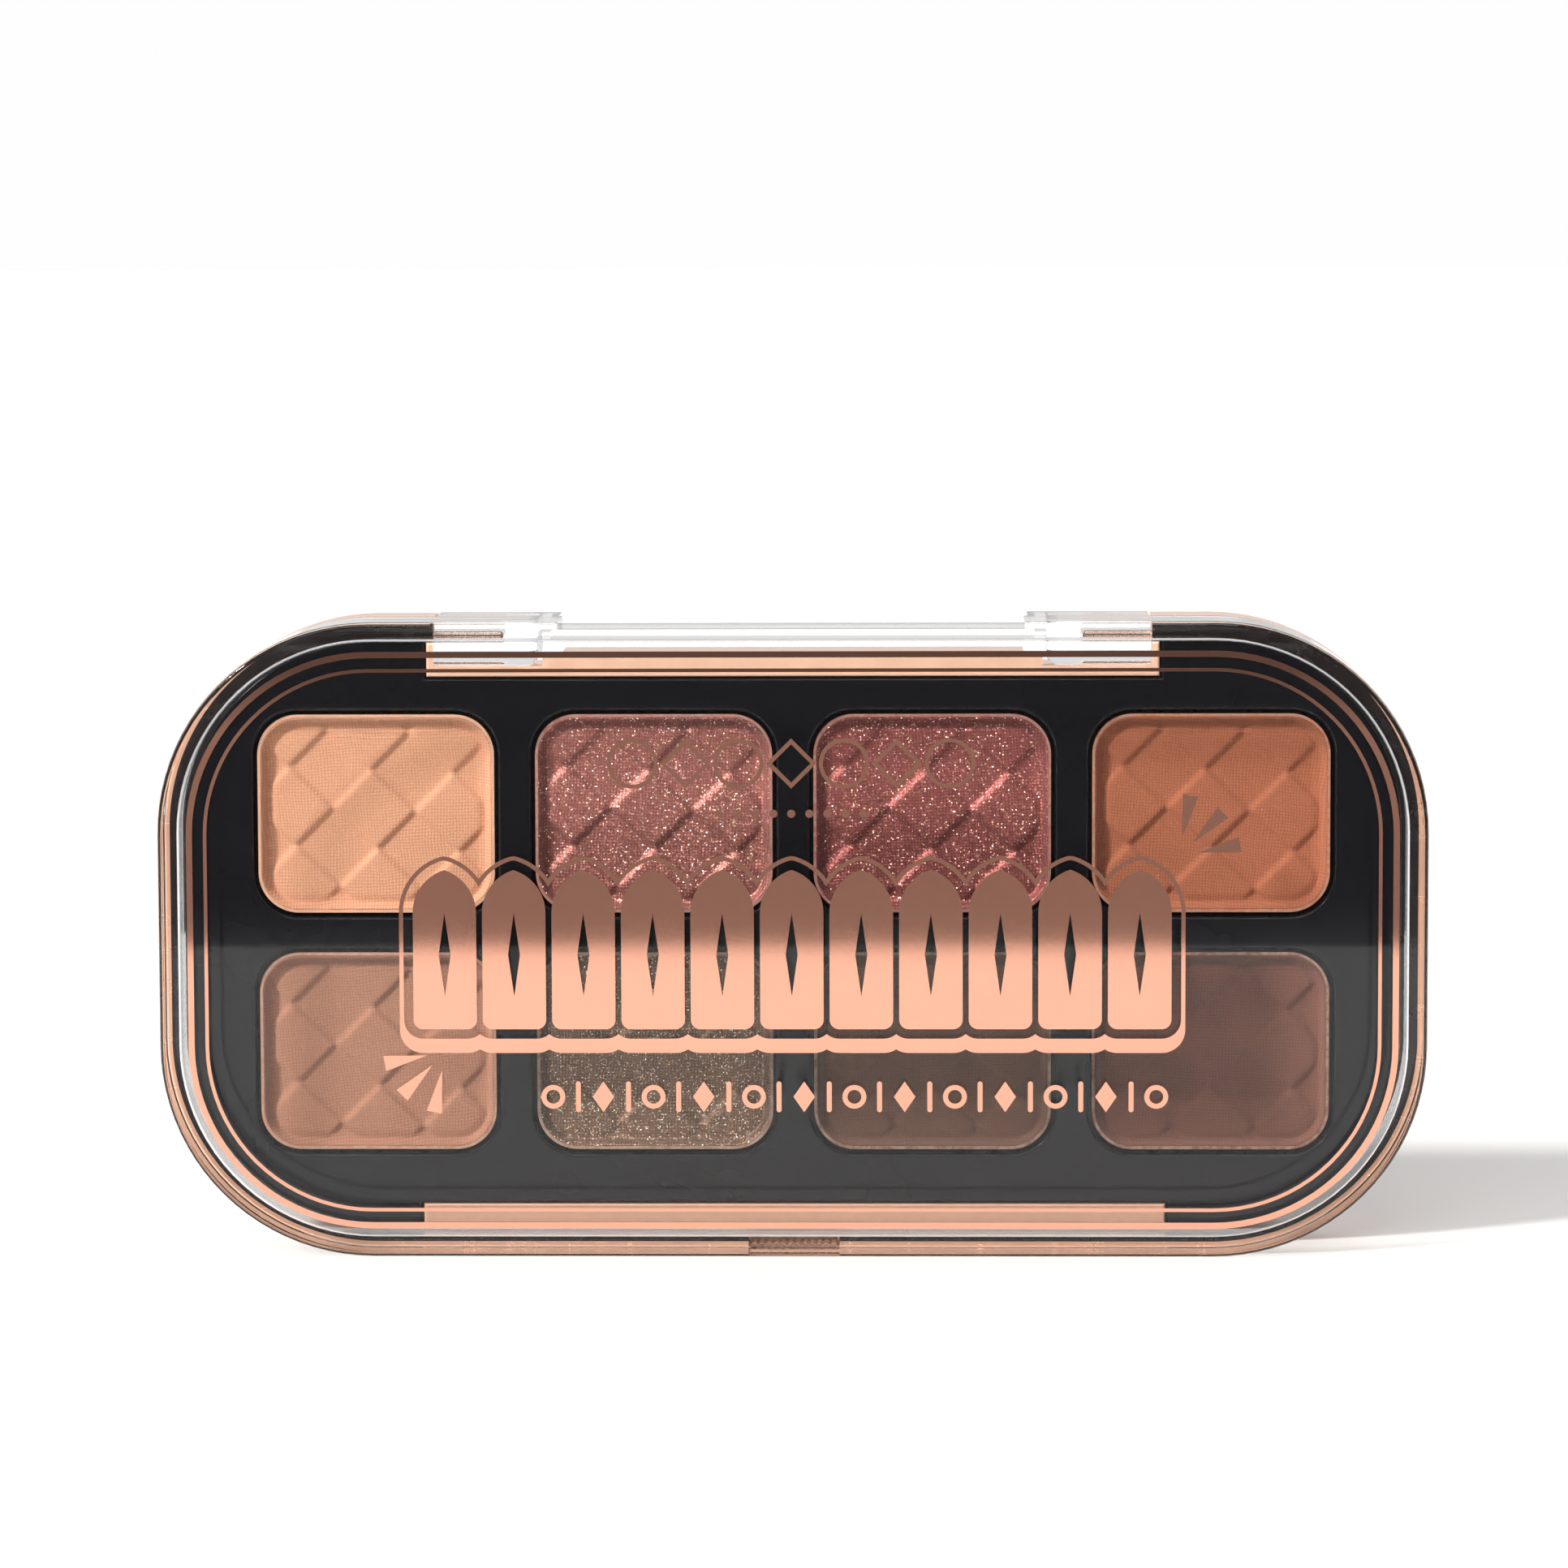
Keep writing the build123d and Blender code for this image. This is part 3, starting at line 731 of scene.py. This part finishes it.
# Lamps: where the sun shines from, its strength and width in degrees; the softbox's place,
# size and watts
SUN_FROM = (-0.66, -0.52, 0.56)
SUN_STRENGTH, SUN_WIDE = 4.4, 9.0
SUN_COLOUR = (1.0, 0.975, 0.94)
BOX_PLACE = (-0.10, -0.62, 0.60)
BOX_SIZE = (0.50, 0.40)
BOX_POWER = 2.4
BOX_COLOUR = (1.0, 0.985, 0.965)


def make_floor():
    """A plain white sweep under and behind the palette."""
    bm = bmesh.new()
    bmesh.ops.create_grid(bm, x_segments=1, y_segments=1, size=FLOOR_HALF)
    mesh = bpy.data.meshes.new("floor")
    bm.to_mesh(mesh)
    bm.free()
    floor = bpy.data.objects.new("floor", mesh)
    floor.location.z = cad_low.z - FLOOR_GAP
    bpy.context.scene.collection.objects.link(floor)
    made, tree, shader = material("floor", Roughness=0.55)
    place = object_place(tree)
    tooth = noise(tree, place, 0.8, 3)
    path = add(tree, "LightPath")
    paper = blend_colour(tree, tooth, (0.90, 0.895, 0.89), (0.915, 0.91, 0.905))
    bounced = calc(tree, "MINIMUM", path.outputs["Diffuse Depth"], 1.0)
    wire(
        tree,
        shader,
        Base_Color=blend_colour(tree, bounced, paper, FLOOR_BOUNCE),
        Normal=bump(tree, tooth, 0.01, 0.2),
    )
    dress(floor, made)


def make_sun(name, direction, strength, softness, colour):
    """A distant lamp that shines from that direction."""
    data = bpy.data.lights.new(name, "SUN")
    data.energy = strength
    data.angle = math.radians(softness)
    data.color = colour
    lamp = bpy.data.objects.new(name, data)
    lamp.rotation_mode = "QUATERNION"
    lamp.rotation_quaternion = Vector(direction).to_track_quat("Z", "Y")
    bpy.context.scene.collection.objects.link(lamp)


def make_softbox(name, place, size, power, colour):
    """A rectangular soft light aimed at the palette, itself out of sight."""
    data = bpy.data.lights.new(name, "AREA")
    data.shape = "RECTANGLE"
    data.size, data.size_y = size
    data.energy = power
    data.color = colour
    lamp = bpy.data.objects.new(name, data)
    lamp.location = place
    lamp.rotation_mode = "QUATERNION"
    aim = Vector((0, 0, cad_high.z / 2)) - Vector(place)
    lamp.rotation_quaternion = aim.to_track_quat("-Z", "Y")
    lamp.visible_camera = False
    bpy.context.scene.collection.objects.link(lamp)


def make_dark_card():
    """The unlit room in front of the table, which only the palette's gloss sees."""
    bm = bmesh.new()
    bmesh.ops.create_grid(bm, x_segments=1, y_segments=1, size=1.0)
    move = Matrix.Translation((0, -1 - CARD_NEAR, CARD_RISE))
    bmesh.ops.transform(bm, matrix=move, verts=bm.verts)
    mesh = bpy.data.meshes.new("dark_card")
    bm.to_mesh(mesh)
    bm.free()
    card = bpy.data.objects.new("dark_card", mesh)
    bpy.context.scene.collection.objects.link(card)
    made, tree, shader = material("dark_card", Base_Color=(0.035, 0.030, 0.034, 1), Roughness=1.0)
    path = add(tree, "LightPath")
    split = add(tree, "SeparateXYZ", {0: object_place(tree)})
    edge = spread(tree, split.outputs[1], -CARD_NEAR, -CARD_NEAR - CARD_FADE, 0, 1)
    seen = calc(tree, "MULTIPLY", calc(tree, "MINIMUM", path.outputs["Glossy Depth"], 1.0), edge)
    clear_part = add(tree, "BsdfTransparent")
    mix = add(tree, "MixShader", {0: seen, 1: clear_part.outputs[0], 2: shader.outputs[0]})
    tree.links.new(mix.outputs[0], tree.nodes["Material Output"].inputs[0])
    dress(card, made)
    for kind in ("camera", "diffuse", "shadow", "volume_scatter"):
        setattr(card, f"visible_{kind}", False)


def make_world():
    """White surroundings behind and above, a dim room in front."""
    world = bpy.data.worlds.new("studio")
    world.use_nodes = True
    tree = world.node_tree
    tree.nodes.clear()
    output = add(tree, "OutputWorld")
    way = add(tree, "SeparateXYZ", {0: add(tree, "TexCoord").outputs["Generated"]})
    front = spread(tree, way.outputs[1], -0.55, 0.35, WORLD_DIM, WORLD_BRIGHT)
    above = spread(tree, way.outputs[2], 0.35, 0.95, 0.0, WORLD_ABOVE)
    sky = add(tree, "Background", {0: (1.0, 0.998, 0.995, 1), 1: calc(tree, "ADD", front, above)})
    seen = add(tree, "Background", {0: (0.99, 0.99, 0.99, 1), 1: 1.0})
    path = add(tree, "LightPath")
    direct = path.outputs["Is Camera Ray"]
    mix = add(tree, "MixShader", {0: direct, 1: sky.outputs[0], 2: seen.outputs[0]})
    tree.links.new(mix.outputs[0], output.inputs[0])
    bpy.context.scene.world = world


make_floor()
make_dark_card()
make_sun("key", SUN_FROM, SUN_STRENGTH, SUN_WIDE, SUN_COLOUR)
make_softbox("front", BOX_PLACE, BOX_SIZE, BOX_POWER, BOX_COLOUR)
make_world()
bpy.context.scene.view_settings.view_transform = "Standard"
